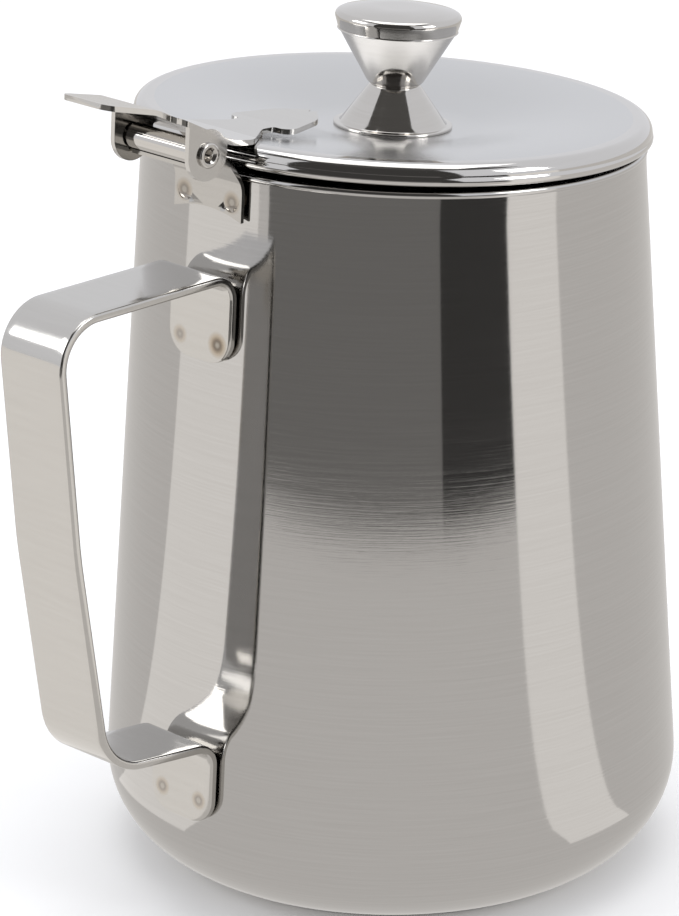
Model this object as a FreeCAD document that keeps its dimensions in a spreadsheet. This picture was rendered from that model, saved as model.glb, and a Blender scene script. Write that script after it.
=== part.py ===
"""Stainless steel milk frothing jug with a strap handle and a hinged, knobbed lid.

Frame: +Z up, the origin is the centre of the base underside, the handle and the hinge
are on the -X side, the pouring lip is on the +X side, millimetres.
The lid parts are drawn in the lid's own frame, whose origin is on the jug's axis in the
middle of the lid's edge; that frame is tipped up towards the hinge.
"""
import FreeCAD, Part
import math
import os
import Sketcher
from FreeCAD import Placement, Rotation, Vector

doc = FreeCAD.newDocument("milk_frothing_jug")
sheet = doc.addObject("Spreadsheet::Sheet", "Dimensions")

# ---------------------------------------------------------------- driving dimensions
DIMENSIONS = {
    # jug shell
    "sheet_wall": 0.8,
    "wall_foot_radius": 63.49,
    "wall_top_radius": 51.66,
    "wall_top_height": 175.0,
    "base_corner_radius": 21.3,
    "rim_height": 159.4,
    "rim_slope": 3.4,
    "rim_ring_radius": 52.45,
    "rim_bead_radius": 0.8,
    "lip_axis_out": 48.2,
    "lip_foot_height": 104.0,
    "lip_height": 66.0,
    "lip_foot_radius": 0.9,
    "lip_top_radius": 13.8,
    # strap handle, along its outer face
    "strap_thickness": 1.8,
    "strap_width": 18.0,
    "upper_tab_out": 55.27,
    "upper_tab_end": 122.4,
    "arm_root_out": 53.93,
    "arm_height": 142.2,
    "arm_bend": 5.5,
    "grip_top_out": 103.3,
    "grip_top_bend": 10.5,
    "grip_middle_out": 99.5,
    "grip_middle_height": 92.0,
    "grip_bow": 120.0,
    "grip_foot_out": 92.5,
    "grip_foot_height": 43.2,
    "grip_foot_bend": 13.0,
    "lower_arm_root_out": 62.66,
    "lower_arm_root_height": 39.9,
    "lower_arm_bend": 3.7,
    "lower_tab_out": 63.79,
    "lower_tab_end": 23.0,
    "tab_corner": 5.5,
    # spot welds
    "weld_radius": 2.1,
    "handle_weld_offset": 5.2,
    "upper_weld_height": 126.6,
    "upper_weld_foot": 53.0,
    "upper_weld_reach": 3.2,
    "upper_dimple_out": 56.75,
    "lower_weld_height": 28.0,
    "lower_weld_foot": 60.0,
    "lower_weld_reach": 3.0,
    "lower_dimple_out": 63.3,
    # hinge
    "hinge_out": 64.4,
    "hinge_height": 169.3,
    "barrel_radius": 2.6,
    "barrel_bore": 1.8,
    "barrel_length": 19.4,
    "barrel_seam": 0.3,
    "bracket_sheet": 0.8,
    "bracket_width": 19.4,
    "bracket_foot_out": 54.0,
    "bracket_foot_height": 152.3,
    "bracket_bend_out": 53.5,
    "bracket_bend_height": 160.2,
    "bracket_bend": 5.0,
    "bracket_shelf_out": 57.4,
    "bracket_shelf_bend": 4.0,
    "bracket_end_out": 65.4,
    "bracket_arch_radius": 30.0,
    "bracket_arch_top": 154.2,
    "bracket_weld_offset": 6.6,
    "bracket_weld_height": 156.4,
    "bracket_weld_foot": 51.0,
    "bracket_weld_reach": 2.4,
    "bracket_dimple_out": 53.75,
    # lid
    "lid_height": 162.7,
    "lid_tilt": 4.0,
    "lid_sheet": 0.8,
    "lid_seat_height": -2.0,
    "lid_dish_foot": 15.9,
    "lid_dish_foot_bend": 40.0,
    "lid_dish_top": 39.5,
    "lid_dish_top_bend": 120.0,
    "lid_top_height": 2.2,
    "lid_skirt_radius": 54.3,
    "lid_edge_bend": 2.4,
    "lid_skirt_end": -0.4,
    "lid_hem_ring_radius": 53.35,
    "lid_hem_radius": 1.2,
    "lid_hem_height": -1.2,
    # lid strap, side profile along its underside
    "hinge_strap_sheet": 1.1,
    "hinge_strap_tip": 23.8,
    "hinge_strap_tip_height": 2.9,
    "hinge_strap_level_start": 38.0,
    "hinge_strap_level_height": 2.45,
    "hinge_strap_edge": 50.0,
    "hinge_strap_edge_height": 2.4,
    "hinge_strap_long_bend": 40.0,
    "hinge_strap_bend_out": 58.2,
    "hinge_strap_bend_height": 3.1,
    "hinge_strap_bend": 14.0,
    "lever_bend_out": 76.0,
    "lever_bend_height": 10.9,
    "lever_bend": 8.0,
    "lever_end": 88.5,
    "lever_end_height": 13.1,
    # lid strap, outline seen from above
    "cleft_end": 25.4,
    "cleft_half_width": 0.9,
    "cleft_round": 0.4,
    "head_start": 28.6,
    "head_start_half_width": 6.2,
    "head_round": 7.0,
    "head_end": 40.2,
    "head_half_width": 9.6,
    "head_end_round": 2.4,
    "notch_round": 0.8,
    "neck_half_width": 5.0,
    "neck_end": 43.6,
    "neck_round": 4.0,
    "ear_outer": 11.3,
    "ear_shoulder": 52.0,
    "ear_shoulder_round": 5.0,
    "lever_start": 71.4,
    "lever_corner_round": 1.2,
    "lever_root_half_width": 8.2,
    "lever_root_round": 2.0,
    "lever_root_end": 74.4,
    "lever_half_width": 6.75,
    "lever_tip_round": 3.0,
    "ear_thickness": 1.1,
    "ear_radius": 5.3,
    "ear_top_inner_height": 4.1,
    "ear_top_outer_height": 8.6,
    "ear_gap_length": 60.0,
    "strap_weld_radius": 1.8,
    "strap_weld_pair": 44.0,
    "strap_weld_offset": 3.0,
    "strap_weld_single": 49.2,
    "strap_weld_top": 3.0,
    "strap_weld_depth": 3.5,
    # hinge pin, a hollow rivet
    "pin_radius": 1.75,
    "pin_bore": 1.15,
    "pin_mouth": 1.7,
    "pin_head_radius": 2.6,
    "pin_head_start": 11.32,
    "pin_end": 12.1,
    "pin_head_round": 0.35,
    # knob, heights above the lid's seat
    "knob_sheet": 0.6,
    "knob_hole": 2.15,
    "knob_flange_radius": 12.5,
    "knob_flange_bend": 0.5,
    "knob_cone_foot": 11.3,
    "knob_waist_radius": 5.05,
    "knob_waist_height": 9.0,
    "knob_waist_bend": 0.8,
    "knob_cup_foot": 9.15,
    "knob_cup_foot_radius": 5.1,
    "knob_cup_bend": 1.8,
    "knob_cup_rim_radius": 11.9,
    "knob_cup_rim": 20.7,
    "knob_cap_rim_radius": 12.42,
    "knob_cap_rim": 20.2,
    "knob_cap_edge_radius": 13.55,
    "knob_cap_edge": 23.9,
    "knob_cap_edge_bend": 1.2,
    "knob_crown_radius": 8.0,
    "knob_crown_bend": 34.0,
    "knob_crown": 25.1,
    "insert_radius": 4.0,
    "insert_foot": 9.75,
    "insert_height": 5.2,
    "screw_radius": 1.9,
    "screw_end": 14.2,
    "screw_head_radius": 3.6,
    "screw_head_height": 2.4,
    "screw_slot_width": 0.9,
    "screw_slot_depth": 1.0,
    "washer_radius": 5.5,
    "washer_thickness": 0.8,
}
FORMULAS = {
    # inside face of the jug's wall
    "cavity_foot_radius": "wall_foot_radius - sheet_wall * 1.07",
    "cavity_top_radius": "wall_top_radius - sheet_wall",
    "cavity_corner_radius": "base_corner_radius - sheet_wall",
    "lip_inner_foot": "lip_foot_radius - sheet_wall",
    "lip_inner_top": "lip_top_radius - sheet_wall",
    "bead_height": "rim_height - rim_bead_radius",
    # the hinge axis in the lid's frame
    "hinge_local_out": "hinge_out * cos(lid_tilt * 1 deg) + (hinge_height - lid_height) * sin(lid_tilt * 1 deg)",
    "hinge_local_up": "(hinge_height - lid_height) * cos(lid_tilt * 1 deg) - hinge_out * sin(lid_tilt * 1 deg)",
    "ear_inner": "ear_outer - ear_thickness",
    "ear_edge_out": "hinge_local_out + ear_radius",
    "ear_edge_in": "hinge_local_out - ear_radius",
    "bracket_shelf_height": "hinge_height - barrel_radius - bracket_sheet",
    "screw_head_top": "-lid_sheet - washer_thickness",
    "screw_head_foot": "-lid_sheet - washer_thickness - screw_head_height",
}
for row, (name, size) in enumerate(DIMENSIONS.items(), start=1):
    sheet.set(f"A{row}", name)
    sheet.set(f"B{row}", str(size))
    sheet.setAlias(f"B{row}", name)
for row, (name, formula) in enumerate(FORMULAS.items(), start=len(DIMENSIONS) + 1):
    sheet.set(f"A{row}", name)
    sheet.set(f"B{row}", "=" + formula)
    sheet.setAlias(f"B{row}", name)
doc.recompute()


def size(name):
    """Value of a sheet cell; a leading minus sign mirrors it, and zero needs no cell."""
    if name == "zero":
        return 0.0
    sign = -1.0 if name.startswith("-") else 1.0
    cell = sheet.get(name.lstrip("-"))
    return sign * float(getattr(cell, "Value", cell))


def cell(name):
    return "-Dimensions." + name[1:] if name.startswith("-") else "Dimensions." + name


def bind(thing, **bindings):
    """Tie properties of an object to sheet cells; a double underscore stands for a dot."""
    for prop, name in bindings.items():
        if name != "zero":
            thing.setExpression(prop.replace("__", "."), cell(name))
    return thing


# ---------------------------------------------------------------- sketch helpers
def pin_point(sketch, geometry, position, x_name, y_name):
    """Hold a sketch point at two sheet dimensions from the sketch's origin."""
    for kind, axis, name in (("DistanceX", -2, x_name), ("DistanceY", -1, y_name)):
        if name == "zero":
            sketch.addConstraint(Sketcher.Constraint("PointOnObject", geometry, position, axis))
            continue
        constraint = Sketcher.Constraint(kind, -1, 1, geometry, position, size(name))
        index = sketch.addConstraint(constraint)
        sketch.setExpression(f"Constraints[{index}]", cell(name))


def bent_line(sketch, corners, closed=False):
    """Draw straight runs through the corners, each corner sharp or bent to a radius."""
    points = [Vector(size(x), size(y), 0) for x, y, bend in corners]
    count = len(corners)
    starts = list(points)
    ends = list(points)
    arcs = {}
    for i, (x, y, bend) in enumerate(corners):
        if bend is None:
            continue
        before = (points[i - 1] - points[i]).normalize()
        after = (points[(i + 1) % count] - points[i]).normalize()
        half = before.getAngle(after) / 2
        reach = size(bend) / math.tan(half)
        ends[i] = points[i] + before * reach
        starts[i] = points[i] + after * reach
        middle = (before + after).normalize()
        centre = points[i] + middle * (size(bend) / math.sin(half))
        left_turn = (before.cross(after)).z < 0
        first = ends[i] if left_turn else starts[i]
        last = starts[i] if left_turn else ends[i]
        angle_first = math.atan2(first.y - centre.y, first.x - centre.x)
        angle_last = math.atan2(last.y - centre.y, last.x - centre.x)
        circle = Part.Circle(centre, Vector(0, 0, 1), size(bend))
        arcs[i] = (Part.ArcOfCircle(circle, angle_first, angle_last), left_turn)
    runs = []
    for i in range(count if closed else count - 1):
        following = (i + 1) % count
        runs.append(sketch.addGeometry(Part.LineSegment(starts[i], ends[following]), False))
    for i, (x, y, bend) in enumerate(corners):
        arriving = runs[i - 1] if (closed or i > 0) else None
        leaving = runs[i] if i < len(runs) else None
        if bend is None:
            if arriving is not None and leaving is not None:
                sketch.addConstraint(Sketcher.Constraint("Coincident", arriving, 2, leaving, 1))
            holder = (leaving, 1) if leaving is not None else (arriving, 2)
            pin_point(sketch, holder[0], holder[1], x, y)
            continue
        arc, left_turn = arcs[i]
        bend_arc = sketch.addGeometry(arc, False)
        corner = sketch.addGeometry(Part.Point(points[i]), True)
        pin_point(sketch, corner, 1, x, y)
        sketch.addConstraint(Sketcher.Constraint("PointOnObject", corner, 1, arriving))
        sketch.addConstraint(Sketcher.Constraint("PointOnObject", corner, 1, leaving))
        first, last = (1, 2) if left_turn else (2, 1)
        sketch.addConstraint(Sketcher.Constraint("Tangent", arriving, 2, bend_arc, first))
        sketch.addConstraint(Sketcher.Constraint("Tangent", leaving, 1, bend_arc, last))
        radius = sketch.addConstraint(Sketcher.Constraint("Radius", bend_arc, size(bend)))
        sketch.setExpression(f"Constraints[{radius}]", cell(bend))
    return sketch


UPRIGHT = Rotation(Vector(1, 0, 0), 90)


def free_sketch(name, corners, closed=False, upright=True):
    """A sketch of its own, in the XZ plane (upright) or in the XY plane."""
    sketch = doc.addObject("Sketcher::SketchObject", name)
    if upright:
        sketch.Placement = Placement(Vector(0, 0, 0), UPRIGHT)
    return bent_line(sketch, corners, closed)


def origin_plane(body, role):
    return next(f for f in body.Origin.OriginFeatures if f.Role == role)


def turned_body(name, corners):
    """A PartDesign body turned about +Z from a closed half profile in the XZ plane."""
    body = doc.addObject("PartDesign::Body", name)
    sketch = body.newObject("Sketcher::SketchObject", name + "_profile")
    sketch.AttachmentSupport = (origin_plane(body, "XZ_Plane"), [""])
    sketch.MapMode = "FlatFace"
    bent_line(sketch, corners, closed=True)
    turn = body.newObject("PartDesign::Revolution", name + "_turn")
    turn.Profile = sketch
    turn.ReferenceAxis = (sketch, ["V_Axis"])
    turn.Angle = 360.0
    body.Tip = turn
    return body


def sheet_face(name, path, thickness, side):
    """The section of a bent sheet: the path thickened to one side (side is +1 or -1)."""
    face = doc.addObject("Part::Offset2D", name)
    face.Source = path
    face.Mode = "Skin"
    face.Fill = True
    face.setExpression("Value", ("-" if side < 0 else "") + "Dimensions." + thickness)
    return face


def bent_sheet(name, path, thickness, side, width):
    """A sheet bent in the XZ plane, centred on it and width wide along Y."""
    section = sheet_face(name + "_section", path, thickness, side)
    strip = doc.addObject("Part::Extrusion", name)
    strip.Base = section
    strip.DirMode = "Custom"
    strip.Dir = Vector(0, 1, 0)
    strip.Solid = True
    strip.Symmetric = True
    strip.setExpression("LengthFwd", width)
    return strip


def spun_sheet(name, path, thickness, side):
    """A sheet spun about +Z from its section."""
    section = sheet_face(name + "_section", path, thickness, side)
    spun = doc.addObject("Part::Revolution", name)
    spun.Source = section
    spun.Axis = Vector(0, 0, 1)
    spun.Base = Vector(0, 0, 0)
    spun.Angle = 360.0
    spun.Solid = False
    return spun


def cylinder(name, radius, height, x, y, z, axis=Vector(0, 0, 1)):
    rod = doc.addObject("Part::Cylinder", name)
    bind(rod, Radius=radius, Height=height)
    rod.Placement = Placement(Vector(0, 0, 0), Rotation(Vector(0, 0, 1), axis))
    bind(rod, Placement__Base__x=x, Placement__Base__y=y, Placement__Base__z=z)
    return rod


def fused(name, pieces):
    joined = doc.addObject("Part::MultiFuse", name)
    joined.Shapes = pieces
    return joined


def cut(name, base, tool):
    remains = doc.addObject("Part::Cut", name)
    remains.Base = base
    remains.Tool = tool
    return remains


def common(name, one, other):
    shared = doc.addObject("Part::Common", name)
    shared.Base = one
    shared.Tool = other
    return shared


nodes = []


def node(thing, name, placement=None):
    """Name a finished sub-part and put it in its place."""
    thing.Label = name
    if placement is not None:
        thing.Placement = placement
    nodes.append(thing)
    return thing


OUTWARD = Vector(-1, 0, 0)
AROUND = Vector(0, 1, 0)
BIG = 240.0

# ---------------------------------------------------------------- jug shell
jug_form = turned_body("jug_form", [
    ("zero", "zero", None),
    ("wall_foot_radius", "zero", "base_corner_radius"),
    ("wall_top_radius", "wall_top_height", None),
    ("zero", "wall_top_height", None),
])
jug_cavity = turned_body("jug_cavity", [
    ("zero", "sheet_wall", None),
    ("cavity_foot_radius", "sheet_wall", "cavity_corner_radius"),
    ("cavity_top_radius", "wall_top_height", None),
    ("zero", "wall_top_height", None),
])
jug_wall = cut("jug_wall", jug_form, jug_cavity)


def lip_cone(name, foot, top):
    cone = doc.addObject("Part::Cone", name)
    bind(cone, Radius1=foot, Radius2=top, Height="lip_height")
    return bind(cone, Placement__Base__x="lip_axis_out", Placement__Base__z="lip_foot_height")


lip_outside = lip_cone("lip_outside", "lip_foot_radius", "lip_top_radius")
lip_inside = lip_cone("lip_inside", "lip_inner_foot", "lip_inner_top")
lip_skin = cut("lip_skin", cut("lip_sheet", lip_outside, lip_inside), jug_form)
open_wall = cut("open_wall", jug_wall, lip_inside)
untrimmed = fused("jug_untrimmed", [open_wall, lip_skin])
above_rim = doc.addObject("Part::Box", "above_rim")
above_rim.Length = BIG
above_rim.Width = BIG
above_rim.Height = BIG / 4
rim_turn = Rotation(Vector(0, 1, 0), size("rim_slope"))
corner_offset = rim_turn.multVec(Vector(-BIG / 2, -BIG / 2, 0))
above_rim.Placement = Placement(corner_offset + Vector(0, 0, size("bead_height")), rim_turn)
trimmed = cut("jug_trimmed", untrimmed, above_rim)
rim_ring = doc.addObject("Part::Torus", "rim_ring")
bind(rim_ring, Radius1="rim_ring_radius", Radius2="rim_bead_radius")
rim_ring.Placement = Placement(Vector(0, 0, size("bead_height")), rim_turn)
rim_bead = cut("rim_bead", rim_ring, lip_inside)
node(fused("jug_shell", [trimmed, rim_bead]), "jug_body")

# ---------------------------------------------------------------- strap handle
handle_path = free_sketch("handle_path", [
    ("-upper_tab_out", "upper_tab_end", None),
    ("-arm_root_out", "arm_height", "arm_bend"),
    ("-grip_top_out", "arm_height", "grip_top_bend"),
    ("-grip_middle_out", "grip_middle_height", "grip_bow"),
    ("-grip_foot_out", "grip_foot_height", "grip_foot_bend"),
    ("-lower_arm_root_out", "lower_arm_root_height", "lower_arm_bend"),
    ("-lower_tab_out", "lower_tab_end", None),
])
handle_strip = bent_sheet("handle_strip", handle_path, "strap_thickness", 1, "Dimensions.strap_width")
doc.recompute()


def end_corner_edges(shape, heights):
    """Numbers of the short edges through the sheet at the corners of the two tab ends."""
    numbers = []
    for number, edge in enumerate(shape.Edges, start=1):
        middle = edge.CenterOfMass
        at_side = abs(abs(middle.y) - size("strap_width") / 2) < 0.01
        at_end = any(abs(middle.z - height) < 0.6 for height in heights)
        if at_side and at_end and abs(edge.Length - size("strap_thickness")) < 0.05:
            numbers.append(number)
    return numbers


tab_ends = (size("upper_tab_end"), size("lower_tab_end"))
handle_rounded = doc.addObject("Part::Fillet", "handle_rounded")
handle_rounded.Base = handle_strip
corner = size("tab_corner")
handle_rounded.Edges = [(n, corner, corner) for n in end_corner_edges(handle_strip.Shape, tab_ends)]


def weld_rods(name, radius, reach, out, offset, height):
    """A pair of rods along the radial direction, one each side of the middle."""
    pair = []
    for side, sign in (("near", "-"), ("far", "")):
        rod = cylinder(f"{name}_{side}", radius, reach, "-" + out, sign + offset, height, OUTWARD)
        pair.append(rod)
    return fused(name, pair)


upper_dimples = weld_rods("upper_dimples", "weld_radius", "upper_weld_reach",
                          "upper_dimple_out", "handle_weld_offset", "upper_weld_height")
lower_dimples = weld_rods("lower_dimples", "weld_radius", "lower_weld_reach",
                          "lower_dimple_out", "handle_weld_offset", "lower_weld_height")
dimples = fused("handle_dimples", [upper_dimples, lower_dimples])
handle = cut("handle", handle_rounded, dimples)
node(handle, "handle_strap")


def weld_nuggets(name, rods, upper_piece, lower_piece):
    """What fills the narrow gap between two sheets at each weld."""
    return cut(name, cut(name + "_above", rods, upper_piece), lower_piece)


upper_rods = weld_rods("upper_weld_rods", "weld_radius", "upper_weld_reach",
                       "upper_weld_foot", "handle_weld_offset", "upper_weld_height")
node(weld_nuggets("upper_nuggets", upper_rods, jug_form, handle), "handle_upper_welds")
lower_rods = weld_rods("lower_weld_rods", "weld_radius", "lower_weld_reach",
                       "lower_weld_foot", "handle_weld_offset", "lower_weld_height")
node(weld_nuggets("lower_nuggets", lower_rods, jug_form, handle), "handle_lower_welds")

# ---------------------------------------------------------------- hinge bracket and barrel
bracket_path = free_sketch("bracket_path", [
    ("-bracket_foot_out", "bracket_foot_height", None),
    ("-bracket_bend_out", "bracket_bend_height", "bracket_bend"),
    ("-bracket_shelf_out", "bracket_shelf_height", "bracket_shelf_bend"),
    ("-bracket_end_out", "bracket_shelf_height", None),
])
bracket_strip = bent_sheet("bracket_strip", bracket_path, "bracket_sheet", -1,
                           "Dimensions.bracket_width")
arch = doc.addObject("Part::Cylinder", "bracket_arch")
bind(arch, Radius="bracket_arch_radius")
arch.Height = BIG / 4
arch.Placement = Placement(Vector(0, 0, 0), Rotation(Vector(0, 0, 1), OUTWARD))
bind(arch, Placement__Base__x="-bracket_weld_foot")
arch.setExpression("Placement.Base.z", "Dimensions.bracket_arch_top - Dimensions.bracket_arch_radius")
bracket_arched = cut("bracket_arched", bracket_strip, arch)
bracket_dimples = weld_rods("bracket_dimples", "weld_radius", "bracket_weld_reach",
                            "bracket_dimple_out", "bracket_weld_offset", "bracket_weld_height")
bracket = cut("bracket", bracket_arched, bracket_dimples)
node(bracket, "hinge_bracket")
bracket_rods = weld_rods("bracket_weld_rods", "weld_radius", "bracket_weld_reach",
                         "bracket_weld_foot", "bracket_weld_offset", "bracket_weld_height")
node(weld_nuggets("bracket_nuggets", bracket_rods, jug_form, bracket), "hinge_bracket_welds")

barrel_tube = cylinder("barrel_tube", "barrel_radius", "barrel_length", "zero", "zero", "zero")
barrel_hole = cylinder("barrel_hole", "barrel_bore", "barrel_length", "zero", "zero", "zero")
seam_gap = doc.addObject("Part::Box", "barrel_seam_gap")
bind(seam_gap, Length="barrel_radius", Width="barrel_seam", Height="barrel_length")
seam_gap.setExpression("Placement.Base.y", "-Dimensions.barrel_seam / 2")
rolled_tube = cut("rolled_tube", cut("barrel_ring", barrel_tube, barrel_hole), seam_gap)
SEAM_ANGLE = 33.0
hinge_centre = Vector(-size("hinge_out"), 0, size("hinge_height"))
# the tube's own +Z lies along +Y and its seam faces outwards, up from the horizontal
lying = Rotation(Vector(0, 1, 0), 180 + SEAM_ANGLE) * Rotation(Vector(1, 0, 0), -90)
half_barrel = Vector(0, size("barrel_length") / 2, 0)
node(rolled_tube, "hinge_barrel", Placement(hinge_centre - half_barrel, lying))

# ---------------------------------------------------------------- lid
lid_place = Placement(Vector(0, 0, size("lid_height")), Rotation(Vector(0, 1, 0), size("lid_tilt")))
lid_path = free_sketch("lid_path", [
    ("zero", "lid_seat_height", None),
    ("lid_dish_foot", "lid_seat_height", "lid_dish_foot_bend"),
    ("lid_dish_top", "lid_top_height", "lid_dish_top_bend"),
    ("lid_skirt_radius", "lid_top_height", "lid_edge_bend"),
    ("lid_skirt_radius", "lid_skirt_end", None),
])
lid_plate = spun_sheet("lid_plate", lid_path, "lid_sheet", -1)
hem = doc.addObject("Part::Torus", "lid_hem")
bind(hem, Radius1="lid_hem_ring_radius", Radius2="lid_hem_radius")
bind(hem, Placement__Base__z="lid_hem_height")
lid_blank = fused("lid_blank", [lid_plate, hem])
lid_hole = doc.addObject("Part::Cylinder", "lid_hole")
bind(lid_hole, Radius="knob_hole")
lid_hole.Height = BIG / 4
lid_hole.setExpression("Placement.Base.z", "-Height / 2")
lid = cut("lid", lid_blank, lid_hole)
node(lid, "lid_shell", lid_place)

# ---------------------------------------------------------------- lid strap with ears and lever
strap_path = free_sketch("strap_path", [
    ("-hinge_strap_tip", "hinge_strap_tip_height", None),
    ("-hinge_strap_level_start", "hinge_strap_level_height", "hinge_strap_long_bend"),
    ("-hinge_strap_edge", "hinge_strap_edge_height", None),
    ("-hinge_strap_bend_out", "hinge_strap_bend_height", "hinge_strap_bend"),
    ("-lever_bend_out", "lever_bend_height", "lever_bend"),
    ("-lever_end", "lever_end_height", None),
])
strap_strip = bent_sheet("strap_strip", strap_path, "hinge_strap_sheet", -1,
                         "2 * Dimensions.ear_outer")
half_outline = [
    ("-hinge_strap_tip", "cleft_half_width", "cleft_round"),
    ("-head_start", "head_start_half_width", "head_round"),
    ("-head_end", "head_half_width", "head_end_round"),
    ("-head_end", "neck_half_width", "notch_round"),
    ("-neck_end", "neck_half_width", "neck_round"),
    ("-ear_shoulder", "ear_outer", "ear_shoulder_round"),
    ("-lever_start", "ear_outer", "lever_corner_round"),
    ("-lever_start", "lever_root_half_width", "lever_corner_round"),
    ("-lever_root_end", "lever_root_half_width", "lever_root_round"),
    ("-lever_end", "lever_half_width", "lever_tip_round"),
]
mirrored = [(x, "-" + y, bend) for x, y, bend in reversed(half_outline)]
cleft = [("-cleft_end", "zero", None)]
strap_outline = free_sketch("strap_outline", cleft + half_outline + mirrored, closed=True, upright=False)
outline_block = doc.addObject("Part::Extrusion", "strap_outline_block")
outline_block.Base = strap_outline
outline_block.DirMode = "Custom"
outline_block.Dir = Vector(0, 0, 1)
outline_block.Solid = True
outline_block.Symmetric = True
outline_block.LengthFwd = BIG / 4
strap_plate = common("strap_plate", strap_strip, outline_block)

ear_web = free_sketch("ear_web", [
    ("-ear_edge_in", "hinge_local_up", None),
    ("-ear_edge_in", "ear_top_inner_height", None),
    ("-ear_edge_out", "ear_top_outer_height", None),
    ("-ear_edge_out", "hinge_local_up", None),
], closed=True)
web_slab = doc.addObject("Part::Extrusion", "ear_web_slab")
web_slab.Base = ear_web
web_slab.DirMode = "Custom"
web_slab.Dir = Vector(0, 1, 0)
web_slab.Solid = True
web_slab.Symmetric = True
web_slab.setExpression("LengthFwd", "2 * Dimensions.ear_outer")


def cross_rod(name, radius, length):
    """A rod along Y, centred on the hinge axis, in the lid's frame."""
    rod = doc.addObject("Part::Cylinder", name)
    bind(rod, Radius=radius)
    rod.setExpression("Height", length)
    rod.Placement = Placement(Vector(0, 0, 0), Rotation(Vector(0, 0, 1), AROUND))
    bind(rod, Placement__Base__x="-hinge_local_out", Placement__Base__z="hinge_local_up")
    rod.setExpression("Placement.Base.y", "-Height / 2")
    return rod


ear_disc = cross_rod("ear_disc", "ear_radius", "2 * Dimensions.ear_outer")
ear_blank = fused("ear_blank", [web_slab, ear_disc])
between_ears = doc.addObject("Part::Box", "between_ears")
bind(between_ears, Length="ear_gap_length", Height="ear_gap_length")
between_ears.setExpression("Width", "2 * Dimensions.ear_inner")
gap_start = "-Dimensions.hinge_local_out - Dimensions.ear_gap_length / 2"
between_ears.setExpression("Placement.Base.x", gap_start)
between_ears.setExpression("Placement.Base.y", "-Dimensions.ear_inner")
between_ears.setExpression("Placement.Base.z", "-Height / 2")
ears = cut("ears", ear_blank, between_ears)
pin_hole = cross_rod("pin_hole", "pin_radius", "4 * Dimensions.ear_outer")
hinge_strap = cut("hinge_strap", fused("strap_blank", [strap_plate, ears]), pin_hole)
node(hinge_strap, "lid_hinge_strap", lid_place)


# the nuggets fill the space between the lid's top face and the strap's underside
lid_form = turned_body("lid_form", [
    ("zero", "screw_head_foot", None),
    ("zero", "lid_seat_height", None),
    ("lid_dish_foot", "lid_seat_height", "lid_dish_foot_bend"),
    ("lid_dish_top", "lid_top_height", "lid_dish_top_bend"),
    ("lid_skirt_radius", "lid_top_height", None),
    ("lid_skirt_radius", "screw_head_foot", None),
])
strap_rods = []
for name, out, offset in (
        ("near", "strap_weld_pair", "-strap_weld_offset"),
        ("far", "strap_weld_pair", "strap_weld_offset"),
        ("centre", "strap_weld_single", "zero")):
    rod = doc.addObject("Part::Cylinder", "strap_rod_" + name)
    bind(rod, Radius="strap_weld_radius", Height="strap_weld_depth")
    bind(rod, Placement__Base__x="-" + out, Placement__Base__y=offset)
    rod.setExpression("Placement.Base.z", "Dimensions.strap_weld_top - Dimensions.strap_weld_depth")
    strap_rods.append(rod)
strap_nuggets = weld_nuggets("strap_nuggets", fused("strap_weld_rods", strap_rods), lid_form, strap_plate)
node(strap_nuggets, "lid_strap_welds", lid_place)

# ---------------------------------------------------------------- hinge pin, a hollow rivet
pin = turned_body("pin", [
    ("pin_bore", "-pin_head_start", None),
    ("pin_mouth", "-pin_end", None),
    ("pin_head_radius", "-pin_end", "pin_head_round"),
    ("pin_head_radius", "-pin_head_start", None),
    ("pin_radius", "-pin_head_start", None),
    ("pin_radius", "pin_head_start", None),
    ("pin_head_radius", "pin_head_start", None),
    ("pin_head_radius", "pin_end", "pin_head_round"),
    ("pin_mouth", "pin_end", None),
    ("pin_bore", "pin_head_start", None),
])
node(pin, "hinge_pin", Placement(hinge_centre, Rotation(Vector(1, 0, 0), -90)))

# ---------------------------------------------------------------- knob
knob_place = lid_place * Placement(Vector(0, 0, size("lid_seat_height")), Rotation())
base_path = free_sketch("knob_base_path", [
    ("knob_flange_radius", "knob_sheet", None),
    ("knob_cone_foot", "knob_sheet", "knob_flange_bend"),
    ("knob_waist_radius", "knob_waist_height", "knob_waist_bend"),
    ("knob_hole", "knob_waist_height", None),
])
node(spun_sheet("knob_foot", base_path, "knob_sheet", 1), "knob_base", knob_place)
cup_path = free_sketch("knob_cup_path", [
    ("knob_hole", "knob_cup_foot", None),
    ("knob_cup_foot_radius", "knob_cup_foot", "knob_cup_bend"),
    ("knob_cup_rim_radius", "knob_cup_rim", None),
])
node(spun_sheet("knob_cone", cup_path, "knob_sheet", 1), "knob_cup", knob_place)
cap_path = free_sketch("knob_cap_path", [
    ("zero", "knob_crown", None),
    ("knob_crown_radius", "knob_crown", "knob_crown_bend"),
    ("knob_cap_edge_radius", "knob_cap_edge", "knob_cap_edge_bend"),
    ("knob_cap_rim_radius", "knob_cap_rim", None),
])
node(spun_sheet("knob_crown_sheet", cap_path, "knob_sheet", -1), "knob_cap", knob_place)

insert_block = cylinder("insert_block", "insert_radius", "insert_height", "zero", "zero", "insert_foot")
insert_thread = cylinder("insert_thread", "screw_radius", "insert_height", "zero", "zero", "insert_foot")
node(cut("insert", insert_block, insert_thread), "knob_insert", knob_place)

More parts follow.
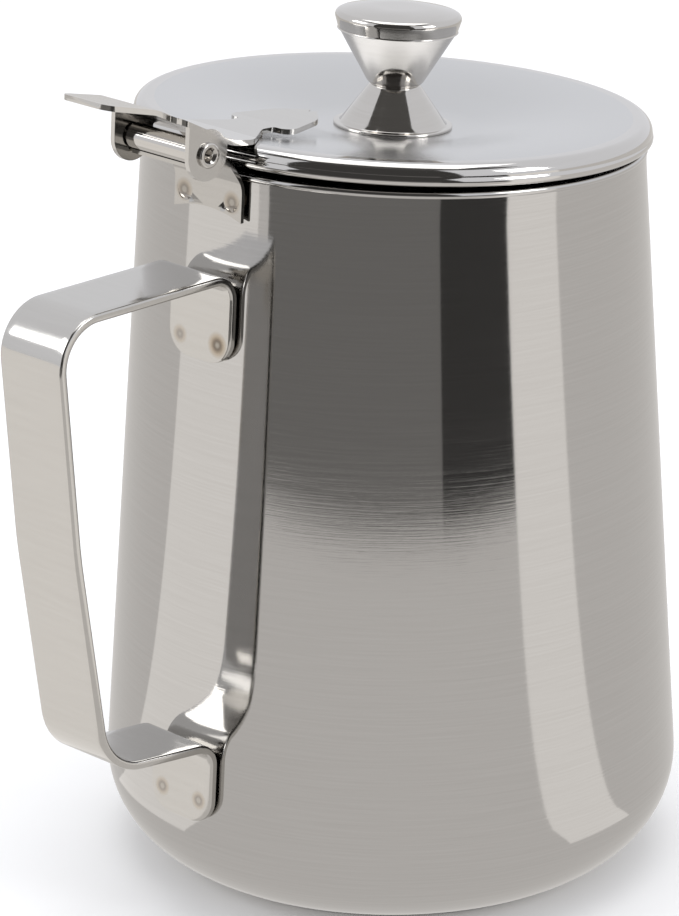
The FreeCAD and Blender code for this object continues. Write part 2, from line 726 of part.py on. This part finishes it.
screw_solid = turned_body("screw_solid", [
    ("zero", "screw_head_foot", None),
    ("screw_head_radius", "screw_head_foot", "washer_thickness"),
    ("screw_head_radius", "screw_head_top", None),
    ("screw_radius", "screw_head_top", None),
    ("screw_radius", "screw_end", None),
    ("zero", "screw_end", None),
])
slot = doc.addObject("Part::Box", "screw_slot")
slot.setExpression("Length", "4 * Dimensions.screw_head_radius")
bind(slot, Width="screw_slot_width", Height="screw_slot_depth", Placement__Base__z="screw_head_foot")
slot.setExpression("Placement.Base.x", "-Length / 2")
slot.setExpression("Placement.Base.y", "-Width / 2")
node(cut("screw", screw_solid, slot), "knob_screw", knob_place)

washer_disc = cylinder("washer_disc", "washer_radius", "washer_thickness", "zero", "zero", "screw_head_top")
washer_hole = cylinder("washer_hole", "knob_hole", "washer_thickness", "zero", "zero", "screw_head_top")
node(cut("washer", washer_disc, washer_hole), "knob_washer", knob_place)

# ---------------------------------------------------------------- check and write
doc.recompute()
for thing in doc.Objects:
    if "Invalid" in thing.State or "Error" in thing.State:
        raise RuntimeError(f"{thing.Label}: {thing.State}")
for thing in nodes:
    shape = thing.Shape
    if shape.isNull() or not shape.isValid() or not shape.Solids:
        raise RuntimeError(f"{thing.Label}: no valid solid")
os.makedirs("parts", exist_ok=True)
for thing in nodes:
    thing.Shape.exportStep(f"parts/{thing.Label}.step")
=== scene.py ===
"""Milk frothing jug with a strap handle and a hinged, knobbed lid: the visible surfaces and the studio.

Frame: metres, +Z up, origin at the centre of the base underside, handle and hinge at -X.
"""
import math

import bmesh
import bpy
from mathutils import Matrix, Vector


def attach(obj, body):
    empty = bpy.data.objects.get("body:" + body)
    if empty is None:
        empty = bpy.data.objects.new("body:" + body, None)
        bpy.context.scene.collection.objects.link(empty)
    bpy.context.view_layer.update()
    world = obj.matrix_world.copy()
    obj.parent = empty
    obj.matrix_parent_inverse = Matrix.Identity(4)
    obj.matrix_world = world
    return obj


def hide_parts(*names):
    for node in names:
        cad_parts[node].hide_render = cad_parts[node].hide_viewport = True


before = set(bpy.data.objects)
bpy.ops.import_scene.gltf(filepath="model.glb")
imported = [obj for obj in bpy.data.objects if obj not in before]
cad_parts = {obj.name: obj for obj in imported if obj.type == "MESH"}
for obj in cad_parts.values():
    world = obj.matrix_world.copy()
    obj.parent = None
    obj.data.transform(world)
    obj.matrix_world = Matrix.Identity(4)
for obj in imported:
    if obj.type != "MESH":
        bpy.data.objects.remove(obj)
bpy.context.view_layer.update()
MM = 0.001

# ---------------------------------------------------------------- sizes, millimetres
WALL = 0.8
WALL_FOOT = 63.49
WALL_TOP = 51.66
WALL_TOP_HEIGHT = 175.0
CORNER = 21.3
BEAD_HEIGHT = 158.6
RIM_SLOPE = math.radians(3.4)
BEAD = 0.8
BEAD_INSET = 0.32
LIP_OUT = 48.2
LIP_FOOT = 104.0
LIP_RISE = 66.0
LIP_FOOT_RADIUS = 0.9
LIP_TOP_RADIUS = 13.8
LIP_BLEND = 1.6

STRAP = 1.8
STRAP_HALF = 9.0
STRAP_EDGE = 0.5
TAB_CORNER = 5.5

LID_HEIGHT = 162.7
LID_TILT = math.radians(4.0)
LID_SHEET = 0.8
LID_SEAT = -2.0
LID_TOP = 2.2
LID_EDGE = 54.3
LID_EDGE_START = 50.5
HEM_RING = 53.35
HEM = 1.2
HEM_HEIGHT = -1.2
KNOB_SHEET = 0.6
KNOB_HOLE = 2.15

AROUND = 288
KNOB_AROUND = 160

STEEL = (0.56, 0.55, 0.53)


# ---------------------------------------------------------------- outlines
def bent(corners, steps=10):
    """Points along a polyline whose corners (x, y, radius) are rounded to tangent arcs."""
    points = [Vector((x, y)) for x, y, radius in corners]
    line = []
    for i, (x, y, radius) in enumerate(corners):
        if not radius:
            line.append(points[i])
            continue
        before = (points[i - 1] - points[i]).normalized()
        after = (points[(i + 1) % len(points)] - points[i]).normalized()
        half = before.angle(after) / 2
        centre = points[i] + (before + after).normalized() * (radius / math.sin(half))
        first = points[i] + before * (radius / math.tan(half)) - centre
        last = points[i] + after * (radius / math.tan(half)) - centre
        sweep = math.atan2(first.x * last.y - first.y * last.x, first.dot(last))
        for k in range(steps + 1):
            turn = Matrix.Rotation(sweep * k / steps, 2)
            line.append(centre + turn @ first)
    return line


def subdivided(line, step):
    """The same line with its long runs cut into equal parts no longer than step."""
    fine = [line[0]]
    for a, b in zip(line, line[1:]):
        parts = max(1, math.ceil((b - a).length / step))
        fine += [a.lerp(b, k / parts) for k in range(1, parts + 1)]
    return fine


def normals_of(line):
    """Left-hand normals of an open line."""
    found = []
    for i in range(len(line)):
        run = line[min(i + 1, len(line) - 1)] - line[max(i - 1, 0)]
        found.append(Vector((-run.y, run.x)).normalized())
    return found


def sheet_section(line, thickness, edge=0.25, steps=4):
    """Closed section of a bent sheet: line is its left face, and its two ends are rounded."""
    left = normals_of(line)
    back = [p - n * thickness for p, n in zip(line, left)]
    section = []
    for face, other in ((line, back), (back[::-1], line[::-1])):
        section += face[1:-1]
        end, opposite = face[-1], other[-1]
        along = (face[-1] - face[-2]).normalized()
        across = (opposite - end).normalized()
        bend = min(edge, thickness * 0.49)
        for corner, start, goal in ((end, -along, across), (opposite, -across, -along)):
            centre = corner + (start + goal) * bend
            for k in range(steps + 1):
                a = math.pi / 2 * k / steps
                section.append(centre - goal * bend * math.cos(a) - start * bend * math.sin(a))
    return section


# ---------------------------------------------------------------- meshes
def finished(name, mesh, node, body, material, smooth=40):
    """A shown piece that stands for a CAD node and rides on its body."""
    bmesh.ops.remove_doubles(mesh, verts=mesh.verts, dist=1e-7)
    bmesh.ops.recalc_face_normals(mesh, faces=mesh.faces)
    data = bpy.data.meshes.new(name)
    mesh.to_mesh(data)
    mesh.free()
    for face in data.polygons:
        face.use_smooth = True
    data.set_sharp_from_angle(angle=math.radians(smooth))
    piece = bpy.data.objects.new(name, data)
    bpy.context.scene.collection.objects.link(piece)
    data.materials.append(material)
    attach(piece, body)
    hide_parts(node)
    return piece


def surface(rings, closed_rings=True, closed_around=True):
    """A mesh from a list of rings of points, in metres."""
    mesh = bmesh.new()
    rows = [[mesh.verts.new(p) for p in ring] for ring in rings]
    ring_pairs = list(zip(rows, rows[1:]))
    if closed_around:
        ring_pairs.append((rows[-1], rows[0]))
    for low, high in ring_pairs:
        count = len(low)
        for i in range(count if closed_rings else count - 1):
            j = (i + 1) % count
            mesh.faces.new((low[i], low[j], high[j], high[i]))
    return mesh


def turned(name, section, node, material, place, around=AROUND, closed=True):
    """A section of (radius, height) points turned about the lid's axis; closed unless it meets the axis."""
    rings = []
    for k in range(around):
        turn = Matrix.Rotation(2 * math.pi * k / around, 3, "Z")
        rings.append([place @ (turn @ Vector((p.x * MM, 0, p.y * MM))) for p in section])
    return finished(name, surface(rings, closed_rings=closed), node, "lid", material)


def rounded_bar(half_width, thickness, edge, steps=4, across=10):
    """Section of a flat bar, (across, depth) points, depth 0 at its outer face."""
    edge = min(edge, thickness * 0.48, half_width * 0.48)
    points = []
    corners = ((-1, 0), (1, 0), (1, 1), (-1, 1))
    for index, (side, deep) in enumerate(corners):
        centre = Vector((side * (half_width - edge), edge if not deep else thickness - edge))
        start = (-math.pi, -math.pi / 2, 0, math.pi / 2)[index]
        for k in range(steps + 1):
            a = start + math.pi / 2 * k / steps
            points.append(centre + Vector((math.cos(a), math.sin(a))) * edge)
        if index in (0, 2):
            flat = (half_width - edge) * 2 * (1 if index == 0 else -1)
            for _ in range(1, across):
                points.append(points[-1] + Vector((flat / across, 0)))
    return points


def end_round(distance, half_width, corner):
    """Half width of a strip at a distance from its rounded end."""
    if distance >= corner:
        return half_width
    return half_width - corner + math.sqrt(max(0.0, corner ** 2 - (corner - distance) ** 2))


# ---------------------------------------------------------------- materials
def material(name, colour, roughness, anisotropic=0.0, turn=0.0, tangent=False):
    """A steel: brushed lines run round the jug's axis where tangent is set."""
    made = bpy.data.materials.new(name)
    made.use_nodes = True
    tree = made.node_tree
    shader = tree.nodes["Principled BSDF"]
    shader.inputs["Metallic"].default_value = 1.0
    shader.inputs["Base Color"].default_value = (*colour, 1)
    shader.inputs["Roughness"].default_value = roughness
    shader.inputs["Anisotropic"].default_value = anisotropic
    shader.inputs["Anisotropic Rotation"].default_value = turn
    if tangent:
        direction = tree.nodes.new("ShaderNodeTangent")
        direction.direction_type = "RADIAL"
        direction.axis = "Z"
        tree.links.new(direction.outputs["Tangent"], shader.inputs["Tangent"])
    return made


def link(tree, source, output, target, socket):
    tree.links.new(source.outputs[output], target.inputs[socket])


def streaks(made, stretch, strength, distance, rough_low, rough_high, tint_low, tint_high):
    """Brushed lines: fine noise stretched by a scale per axis, as bump, roughness and tint."""
    tree = made.node_tree
    shader = tree.nodes["Principled BSDF"]
    where = tree.nodes.new("ShaderNodeTexCoord")
    scale = tree.nodes.new("ShaderNodeMapping")
    scale.inputs["Scale"].default_value = stretch
    link(tree, where, "Object", scale, "Vector")
    lines = tree.nodes.new("ShaderNodeTexNoise")
    lines.inputs["Scale"].default_value = 1.0
    lines.inputs["Detail"].default_value = 4.0
    lines.inputs["Roughness"].default_value = 0.6
    link(tree, scale, "Vector", lines, "Vector")
    bump = tree.nodes.new("ShaderNodeBump")
    bump.inputs["Strength"].default_value = strength
    bump.inputs["Distance"].default_value = distance
    link(tree, lines, "Fac", bump, "Height")
    link(tree, bump, "Normal", shader, "Normal")
    rough = tree.nodes.new("ShaderNodeMapRange")
    rough.inputs["From Min"].default_value = 0.3
    rough.inputs["From Max"].default_value = 0.7
    rough.inputs["To Min"].default_value = rough_low
    rough.inputs["To Max"].default_value = rough_high
    link(tree, lines, "Fac", rough, "Value")
    link(tree, rough, "Result", shader, "Roughness")
    tint = tree.nodes.new("ShaderNodeMix")
    tint.data_type = "RGBA"
    tint.inputs["A"].default_value = (*tint_low, 1)
    tint.inputs["B"].default_value = (*tint_high, 1)
    link(tree, lines, "Fac", tint, "Factor")
    tree.links.new(tint.outputs["Result"], shader.inputs["Base Color"])
    return made


# depth counts for less than height and width, so that a mark shows on a sloping face
MARK_DEPTH = 0.3
MARK_CENTRE = (0.62, 0.58, 0.52)
MARK_RINGS = ((0.42, (0.22, 0.17, 0.12)), (0.52, (0.38, 0.30, 0.22)), (0.70, (0.78, 0.68, 0.55)))


def heat_marks(made, spots, radius, strength):
    """Tint rings round weld spots, given as (x, y, z) in millimetres."""
    tree = made.node_tree
    shader = tree.nodes["Principled BSDF"]
    where = tree.nodes.new("ShaderNodeTexCoord")
    flat = tree.nodes.new("ShaderNodeVectorMath")
    flat.operation = "MULTIPLY"
    flat.inputs[1].default_value = (MARK_DEPTH, 1, 1)
    link(tree, where, "Object", flat, 0)
    wobble = tree.nodes.new("ShaderNodeTexNoise")
    wobble.inputs["Scale"].default_value = 700
    nearest = None
    for x, y, z in spots:
        gap = tree.nodes.new("ShaderNodeVectorMath")
        gap.operation = "DISTANCE"
        gap.inputs[1].default_value = (MARK_DEPTH * x * MM, y * MM, z * MM)
        link(tree, flat, "Vector", gap, 0)
        if nearest is None:
            nearest = gap
            continue
        least = tree.nodes.new("ShaderNodeMath")
        least.operation = "MINIMUM"
        link(tree, nearest, "Value", least, 0)
        link(tree, gap, "Value", least, 1)
        nearest = least
    ragged = tree.nodes.new("ShaderNodeMath")
    ragged.operation = "MULTIPLY_ADD"
    link(tree, wobble, "Fac", ragged, 0)
    ragged.inputs[1].default_value = 0.5 * radius * MM
    link(tree, nearest, "Value", ragged, 2)
    ring = tree.nodes.new("ShaderNodeValToRGB")
    share = tree.nodes.new("ShaderNodeMapRange")
    share.inputs["From Max"].default_value = 2 * radius * MM
    link(tree, ragged, "Value", share, "Value")
    link(tree, share, "Result", ring, "Fac")
    stops = ring.color_ramp.elements
    stops[0].position = 0.3
    stops[0].color = (*MARK_CENTRE, 1)
    stops[1].position = 1.0
    stops[1].color = (1, 1, 1, 1)
    for place, colour in MARK_RINGS:
        stops.new(place).color = (*colour, 1)
    tinted = tree.nodes.new("ShaderNodeMix")
    tinted.data_type = "RGBA"
    tinted.blend_type = "MULTIPLY"
    tinted.inputs["Factor"].default_value = strength
    source = shader.inputs["Base Color"].links[0].from_socket
    tree.links.new(source, tinted.inputs["A"])
    link(tree, ring, "Color", tinted, "B")
    tree.links.new(tinted.outputs["Result"], shader.inputs["Base Color"])


def strap_finish(name, tint_low, tint_high):
    """Satin sheet with its lines along the jug's height."""
    return streaks(material(name, STEEL, 0.2), (900, 60, 900), 0.05, 0.00002, 0.09, 0.15, tint_low, tint_high)


SATIN_LOW = (0.55, 0.535, 0.51)
SATIN_HIGH = (0.60, 0.585, 0.56)
UPPER_WELD = (-55.0, 5.5, 126.6)
UPPER_WELD_NEAR = (-55.0, -5.5, 126.6)
LOWER_WELDS = [(-63.6, 5.5, 28.0), (-63.6, -5.5, 28.0)]
BRACKET_WELDS = [(-53.0, -6.9, 156.4), (-53.0, 6.9, 156.4)]

body_steel = streaks(material("brushed_body", STEEL, 0.3, 0.5, 0.25, True),
                     (45, 45, 2600), 0.20, 0.00003, 0.045, 0.085, (0.53, 0.52, 0.505), (0.60, 0.59, 0.578))
lid_steel = streaks(material("satin_lid", STEEL, 0.25, 0.3, 0.25, True),
                    (60, 60, 60), 0.02, 0.00002, 0.21, 0.25, (0.585, 0.585, 0.585), (0.615, 0.615, 0.615))
edge_steel = streaks(material("lid_edge", STEEL, 0.1),
                     (40, 40, 1500), 0.03, 0.00001, 0.05, 0.09, (0.60, 0.585, 0.565), (0.64, 0.625, 0.61))
strap_steel = strap_finish("satin_strap", SATIN_LOW, SATIN_HIGH)
handle_steel = strap_finish("satin_handle", SATIN_LOW, SATIN_HIGH)
heat_marks(handle_steel, [UPPER_WELD, *LOWER_WELDS], 1.3, 0.5)
heat_marks(handle_steel, [UPPER_WELD_NEAR], 1.7, 0.85)
# painted shade: the bracket's satin is tinted darker than the strap's and handle's, standing in for the shade
# on the bracket
bracket_steel_painted_shade = strap_finish("satin_bracket_painted_shade", (0.47, 0.455, 0.43), (0.53, 0.515, 0.49))
heat_marks(bracket_steel_painted_shade, BRACKET_WELDS, 1.5, 0.6)
polished = streaks(material("polished", STEEL, 0.1),
                   (60, 60, 1800), 0.04, 0.00001, 0.04, 0.09, (0.56, 0.54, 0.51), (0.62, 0.60, 0.575))
weld_steel = streaks(material("weld", (0.3, 0.27, 0.23), 0.4),
                     (700, 700, 700), 0.2, 0.00005, 0.3, 0.5, (0.25, 0.22, 0.19), (0.42, 0.38, 0.33))


# ---------------------------------------------------------------- jug body
def wall_radius(height):
    return WALL_FOOT + (WALL_TOP - WALL_FOOT) * height / WALL_TOP_HEIGHT


def lip_radius(height, angle):
    """Distance from the jug's axis to the lip's cone, or none outside it."""
    share = (height - LIP_FOOT) / LIP_RISE
    if share <= 0:
        return 0.0
    radius = LIP_FOOT_RADIUS + (LIP_TOP_RADIUS - LIP_FOOT_RADIUS) * share
    aside = LIP_OUT * math.sin(angle)
    if abs(aside) >= radius or math.cos(angle) < 0:
        return 0.0
    return LIP_OUT * math.cos(angle) + math.sqrt(radius ** 2 - aside ** 2)


def soft_max(a, b, blend):
    gap = max(blend - abs(a - b), 0.0) / blend
    return max(a, b) + gap * gap * blend / 4


def jug_rings():
    rings = []
    corner_line = bent([(0, 0, 0), (WALL_FOOT, 0, CORNER), (wall_radius(60), 60, 0)], 20)[:-1]
    corner_top = corner_line[-1].y
    foot = subdivided(corner_line[:2], 6)
    outer_low = foot[:-1] + corner_line[1:]
    inner_low = []
    for point, normal in zip(outer_low, normals_of(outer_low)):
        inner_low.append(point + normal * WALL)
    inner_low[0] = Vector((0, WALL))
    for k in range(AROUND):
        angle = 2 * math.pi * (k + 0.5) / AROUND
        bead_top = BEAD_HEIGHT - WALL_TOP * math.cos(angle) * math.tan(RIM_SLOPE)
        heights = [corner_top + (bead_top - corner_top) * j / 44 for j in range(1, 45)]
        outer = []
        for height in heights:
            base = wall_radius(height)
            lip = lip_radius(height, angle)
            outer.append(Vector((soft_max(base, lip, LIP_BLEND) if lip else base, height)))
        centre = outer[-1] + Vector((-BEAD_INSET, 0))
        section = list(outer_low) + outer[:-1]
        for j in range(17):
            a = math.radians(-50 + 280 * j / 16)
            section.append(centre + Vector((math.cos(a), math.sin(a))) * BEAD)
        section += [p + Vector((-WALL, 0)) for p in reversed(outer[:-1])]
        section += inner_low[::-1]
        turn = Matrix.Rotation(angle, 3, "Z")
        rings.append([turn @ Vector((p.x, 0, p.y)) * MM for p in section])
    return rings


finished("jug_shell", surface(jug_rings(), closed_rings=False), "jug_body", "jug", body_steel)

# ---------------------------------------------------------------- lid
lid_place = Matrix.Translation((0, 0, LID_HEIGHT * MM)) @ Matrix.Rotation(LID_TILT, 4, "Y")


def lid_section():
    top = bent([(KNOB_HOLE, LID_SEAT, 0), (15.9, LID_SEAT, 40), (39.5, LID_TOP, 120),
                (LID_EDGE, LID_TOP, 2.4), (LID_EDGE, -0.35, 0)], 14)
    top = subdivided(top, 2.0)
    under = [p - n * LID_SHEET for p, n in zip(top, normals_of(top))]
    under = [p for p in under if p.x < HEM_RING - 0.5]
    hem = []
    for j in range(25):
        a = math.radians(38 - 250 * j / 24)
        hem.append(Vector((HEM_RING + HEM * math.cos(a), HEM_HEIGHT + HEM * math.sin(a))))
    return top[:-1] + hem + under[::-1]


lid_piece = turned("lid_plate", lid_section(), "lid_shell", lid_steel, lid_place)
lid_piece.data.materials.append(edge_steel)
lid_away = lid_place.inverted()
for face in lid_piece.data.polygons:
    centre = lid_away @ face.center
    if math.hypot(centre.x, centre.y) > LID_EDGE_START * MM:
        face.material_index = 1

# ---------------------------------------------------------------- knob
knob_place = lid_place @ Matrix.Translation((0, 0, LID_SEAT * MM))
foot_line = bent([(12.5, 0.6, 0), (11.3, 0.6, 0.5), (5.05, 9.0, 0.8), (KNOB_HOLE, 9.0, 0)], 8)
turned("knob_foot", sheet_section(subdivided(foot_line, 1.0)[::-1], KNOB_SHEET, 0.2), "knob_base",
       polished, knob_place, KNOB_AROUND)
cup_line = bent([(KNOB_HOLE, 9.15, 0), (5.1, 9.15, 1.8), (11.9, 20.7, 0)], 10)
turned("knob_cone", sheet_section(subdivided(cup_line, 1.0)[::-1], -KNOB_SHEET, 0.2), "knob_cup",
       polished, knob_place, KNOB_AROUND)


def cap_section():
    outer = bent([(0, 25.1, 0), (8.0, 25.1, 34.0), (13.55, 23.9, 1.2), (12.42, 20.2, 0)], 12)
    outer = subdivided(outer, 1.0)
    inner = [p - n * KNOB_SHEET for p, n in zip(outer, normals_of(outer))]
    inner[0] = Vector((0, inner[0].y))
    return outer + inner[::-1]


turned("knob_crown", cap_section(), "knob_cap", polished, knob_place, KNOB_AROUND, closed=False)

# ---------------------------------------------------------------- handle
HANDLE_PATH = [(-55.27, 122.4, 0), (-53.93, 142.2, 5.5), (-103.3, 142.2, 10.5), (-99.5, 92.0, 120.0),
               (-92.5, 43.2, 13.0), (-62.66, 39.9, 3.7), (-63.79, 23.0, 0)]
# where the rounded ends get more rings
NEAR_ENDS = [0.05, 0.2, 0.5, 0.9, 1.4, 2.0, 2.8, 3.7, 4.6]


def strip(path, thickness, half_width, edge, end_corner):
    """Rings of a bent strip: path is its outer face in the XZ plane."""
    line = subdivided(bent(path, 16), 2.0)
    lengths = [0.0]
    for a, b in zip(line, line[1:]):
        lengths.append(lengths[-1] + (b - a).length)
    total = lengths[-1]
    marks = sorted(set([round(v, 4) for v in lengths] + NEAR_ENDS + [total - v for v in NEAR_ENDS]))
    rings = []
    index = 0
    left = normals_of(line)
    for mark in marks:
        while index < len(lengths) - 2 and lengths[index + 1] < mark:
            index += 1
        share = (mark - lengths[index]) / max(lengths[index + 1] - lengths[index], 1e-9)
        point = line[index].lerp(line[index + 1], share)
        normal = left[index].lerp(left[index + 1], share).normalized()
        wide = end_round(min(mark, total - mark), half_width, end_corner)
        ring = []
        for p in rounded_bar(wide, thickness, edge):
            at = point + normal * p.y
            ring.append(Vector((at.x, p.x, at.y)) * MM)
        rings.append(ring)
    return rings


def capped(rings):
    mesh = surface(rings, closed_around=False)
    mesh.verts.ensure_lookup_table()
    count = len(rings[0])
    mesh.faces.new([mesh.verts[i] for i in range(count)])
    mesh.faces.new([mesh.verts[len(mesh.verts) - count + i] for i in range(count)])
    return mesh


finished("strap_handle", capped(strip(HANDLE_PATH, STRAP, STRAP_HALF, STRAP_EDGE, TAB_CORNER)),
         "handle_strap", "jug", handle_steel)


# ---------------------------------------------------------------- small pressed parts
def softened(node, body, name, made, width=0.15):
    """A copy of a CAD piece, with its sharp edges rounded unless width is 0."""
    mesh = bmesh.new()
    mesh.from_mesh(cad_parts[node].data)
    bmesh.ops.remove_doubles(mesh, verts=mesh.verts, dist=2e-6)
    bmesh.ops.dissolve_limit(mesh, angle_limit=math.radians(0.1), verts=mesh.verts, edges=mesh.edges)
    piece = finished(name, mesh, node, body, made, 35)
    if not width:
        return piece
    bevel = piece.modifiers.new("edges", "BEVEL")
    bevel.width = width * MM
    bevel.segments = 3
    bevel.limit_method = "ANGLE"
    bevel.angle_limit = math.radians(40)
    bevel.harden_normals = True
    return piece


softened("lid_hinge_strap", "lid", "hinge_strap", strap_steel)
softened("hinge_bracket", "jug", "bracket", bracket_steel_painted_shade, 0)
softened("hinge_barrel", "jug", "barrel", polished, 0.08)
softened("hinge_pin", "lid", "rivet", polished, 0.1)
for name, made in (("handle_upper_welds", weld_steel), ("handle_lower_welds", weld_steel),
                   ("hinge_bracket_welds", weld_steel), ("lid_strap_welds", weld_steel),
                   ("knob_insert", polished), ("knob_screw", polished), ("knob_washer", strap_steel)):
    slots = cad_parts[name].data.materials
    slots.clear()
    slots.append(made)

# ---------------------------------------------------------------- studio
scene = bpy.context.scene
scene.view_settings.view_transform = "Standard"

VIEW_AZIMUTH = math.atan2(-0.695, -0.719)


def around_camera(bearing, distance, height):
    """A place by its bearing in degrees from the camera's side of the jug."""
    a = VIEW_AZIMUTH + math.radians(bearing)
    return (math.cos(a) * distance, math.sin(a) * distance, height)


def plain_card(name, bearings, first, last, brightness):
    """A card of one even brightness, seen only in reflections, between two (distance, height) edges."""
    start, end = bearings
    mesh = bmesh.new()
    edges = []
    for distance, height in (first, last):
        places = [around_camera(start + (end - start) * k / CARD_STEPS, distance, height)
                  for k in range(CARD_STEPS + 1)]
        edges.append([mesh.verts.new(place) for place in places])
    for k in range(CARD_STEPS):
        mesh.faces.new((edges[0][k], edges[0][k + 1], edges[1][k + 1], edges[1][k]))
    data = bpy.data.meshes.new(name)
    mesh.to_mesh(data)
    mesh.free()
    paint = bpy.data.materials.new(name)
    paint.use_nodes = True
    tree = paint.node_tree
    tree.nodes.clear()
    glow = tree.nodes.new("ShaderNodeEmission")
    glow.inputs["Color"].default_value = (*CARD_COLOUR, 1)
    glow.inputs["Strength"].default_value = brightness
    out = tree.nodes.new("ShaderNodeOutputMaterial")
    link(tree, glow, "Emission", out, "Surface")
    data.materials.append(paint)
    card = bpy.data.objects.new(name, data)
    scene.collection.objects.link(card)
    card.visible_camera = False
    card.visible_diffuse = False
    card.visible_shadow = False


CARD_STEPS = 24
CARD_COLOUR = (1.0, 0.97, 0.94)
ON_FLOOR = 0.001
UNDER_BOARDS = 0.0006
plain_card("table_card", (-180, 180), (0.01, UNDER_BOARDS), (3.0, UNDER_BOARDS), 0.7)
plain_card("front_board", (-55, 20), (0.45, ON_FLOOR), (3.0, ON_FLOOR), 0.2)
plain_card("dark_board", (20, 50), (0.45, ON_FLOOR), (3.0, ON_FLOOR), 0.05)
plain_card("left_white_board", (-100, -60), (0.08, ON_FLOOR), (3.0, ON_FLOOR), 1.0)
plain_card("right_white_board", (50, 75), (0.08, ON_FLOOR), (3.0, ON_FLOOR), 1.0)
plain_card("camera_side_screen", (-45, 30), (1.6, 0.0), (1.6, 3.0), 0.06)
plain_card("overhead_board", (-90, 90), (0.05, 2.2), (1.6, 2.2), 0.1)

floor_mesh = bpy.data.meshes.new("floor")
grid = bmesh.new()
bmesh.ops.create_grid(grid, x_segments=1, y_segments=1, size=4.0)
grid.to_mesh(floor_mesh)
grid.free()
floor = bpy.data.objects.new("floor", floor_mesh)
scene.collection.objects.link(floor)
floor_paint = bpy.data.materials.new("pale_floor")
floor_paint.use_nodes = True
floor_paint.node_tree.nodes["Principled BSDF"].inputs["Base Color"].default_value = (0.9, 0.9, 0.9, 1)
floor_paint.node_tree.nodes["Principled BSDF"].inputs["Roughness"].default_value = 0.9
floor_mesh.materials.append(floor_paint)
floor.location.z = -0.0002

world = bpy.data.worlds.new("studio")
scene.world = world
world.use_nodes = True
world.node_tree.nodes["Background"].inputs["Color"].default_value = (0.95, 0.96, 1.0, 1)
world.node_tree.nodes["Background"].inputs["Strength"].default_value = 0.9


AIM = Vector((0, 0, 0.09))


def softbox(name, where, size, power):
    """A rectangular light that faces the middle of the jug."""
    light = bpy.data.lights.new(name, "AREA")
    light.shape = "RECTANGLE"
    light.size, light.size_y = size
    light.energy = power
    lamp = bpy.data.objects.new(name, light)
    scene.collection.objects.link(lamp)
    lamp.location = where
    lamp.rotation_mode = "QUATERNION"
    lamp.rotation_quaternion = (AIM - Vector(where)).to_track_quat("-Z", "Y")


softbox("right_box", around_camera(64, 1.2, 0.75), (0.45, 0.5), 4)
softbox("left_box", around_camera(-80, 1.2, 0.8), (0.7, 0.5), 4)
softbox("top_box", (0.1, 0.1, 1.5), (1.2, 1.2), 8)

# ---------------------------------------------------------------- camera
CAMERA_PLACE = (-0.6684, -0.6455, 0.4194)
CAMERA_PITCH = math.radians(19.712)
CAMERA_YAW = math.radians(0.667)
FOCAL_LENGTH = 180.6
camera_data = bpy.data.cameras.new("camera")
camera = bpy.data.objects.new("camera", camera_data)
scene.collection.objects.link(camera)
camera_data.sensor_width = 36.0
camera_data.lens = FOCAL_LENGTH
camera_data.clip_start = 0.05
camera_data.clip_end = 20
camera.location = CAMERA_PLACE
heading = math.atan2(0.695, 0.719) + CAMERA_YAW
look = Vector((math.cos(heading) * math.cos(CAMERA_PITCH), math.sin(heading) * math.cos(CAMERA_PITCH),
               -math.sin(CAMERA_PITCH)))
camera.rotation_mode = "QUATERNION"
camera.rotation_quaternion = look.to_track_quat("-Z", "Y")
scene.camera = camera
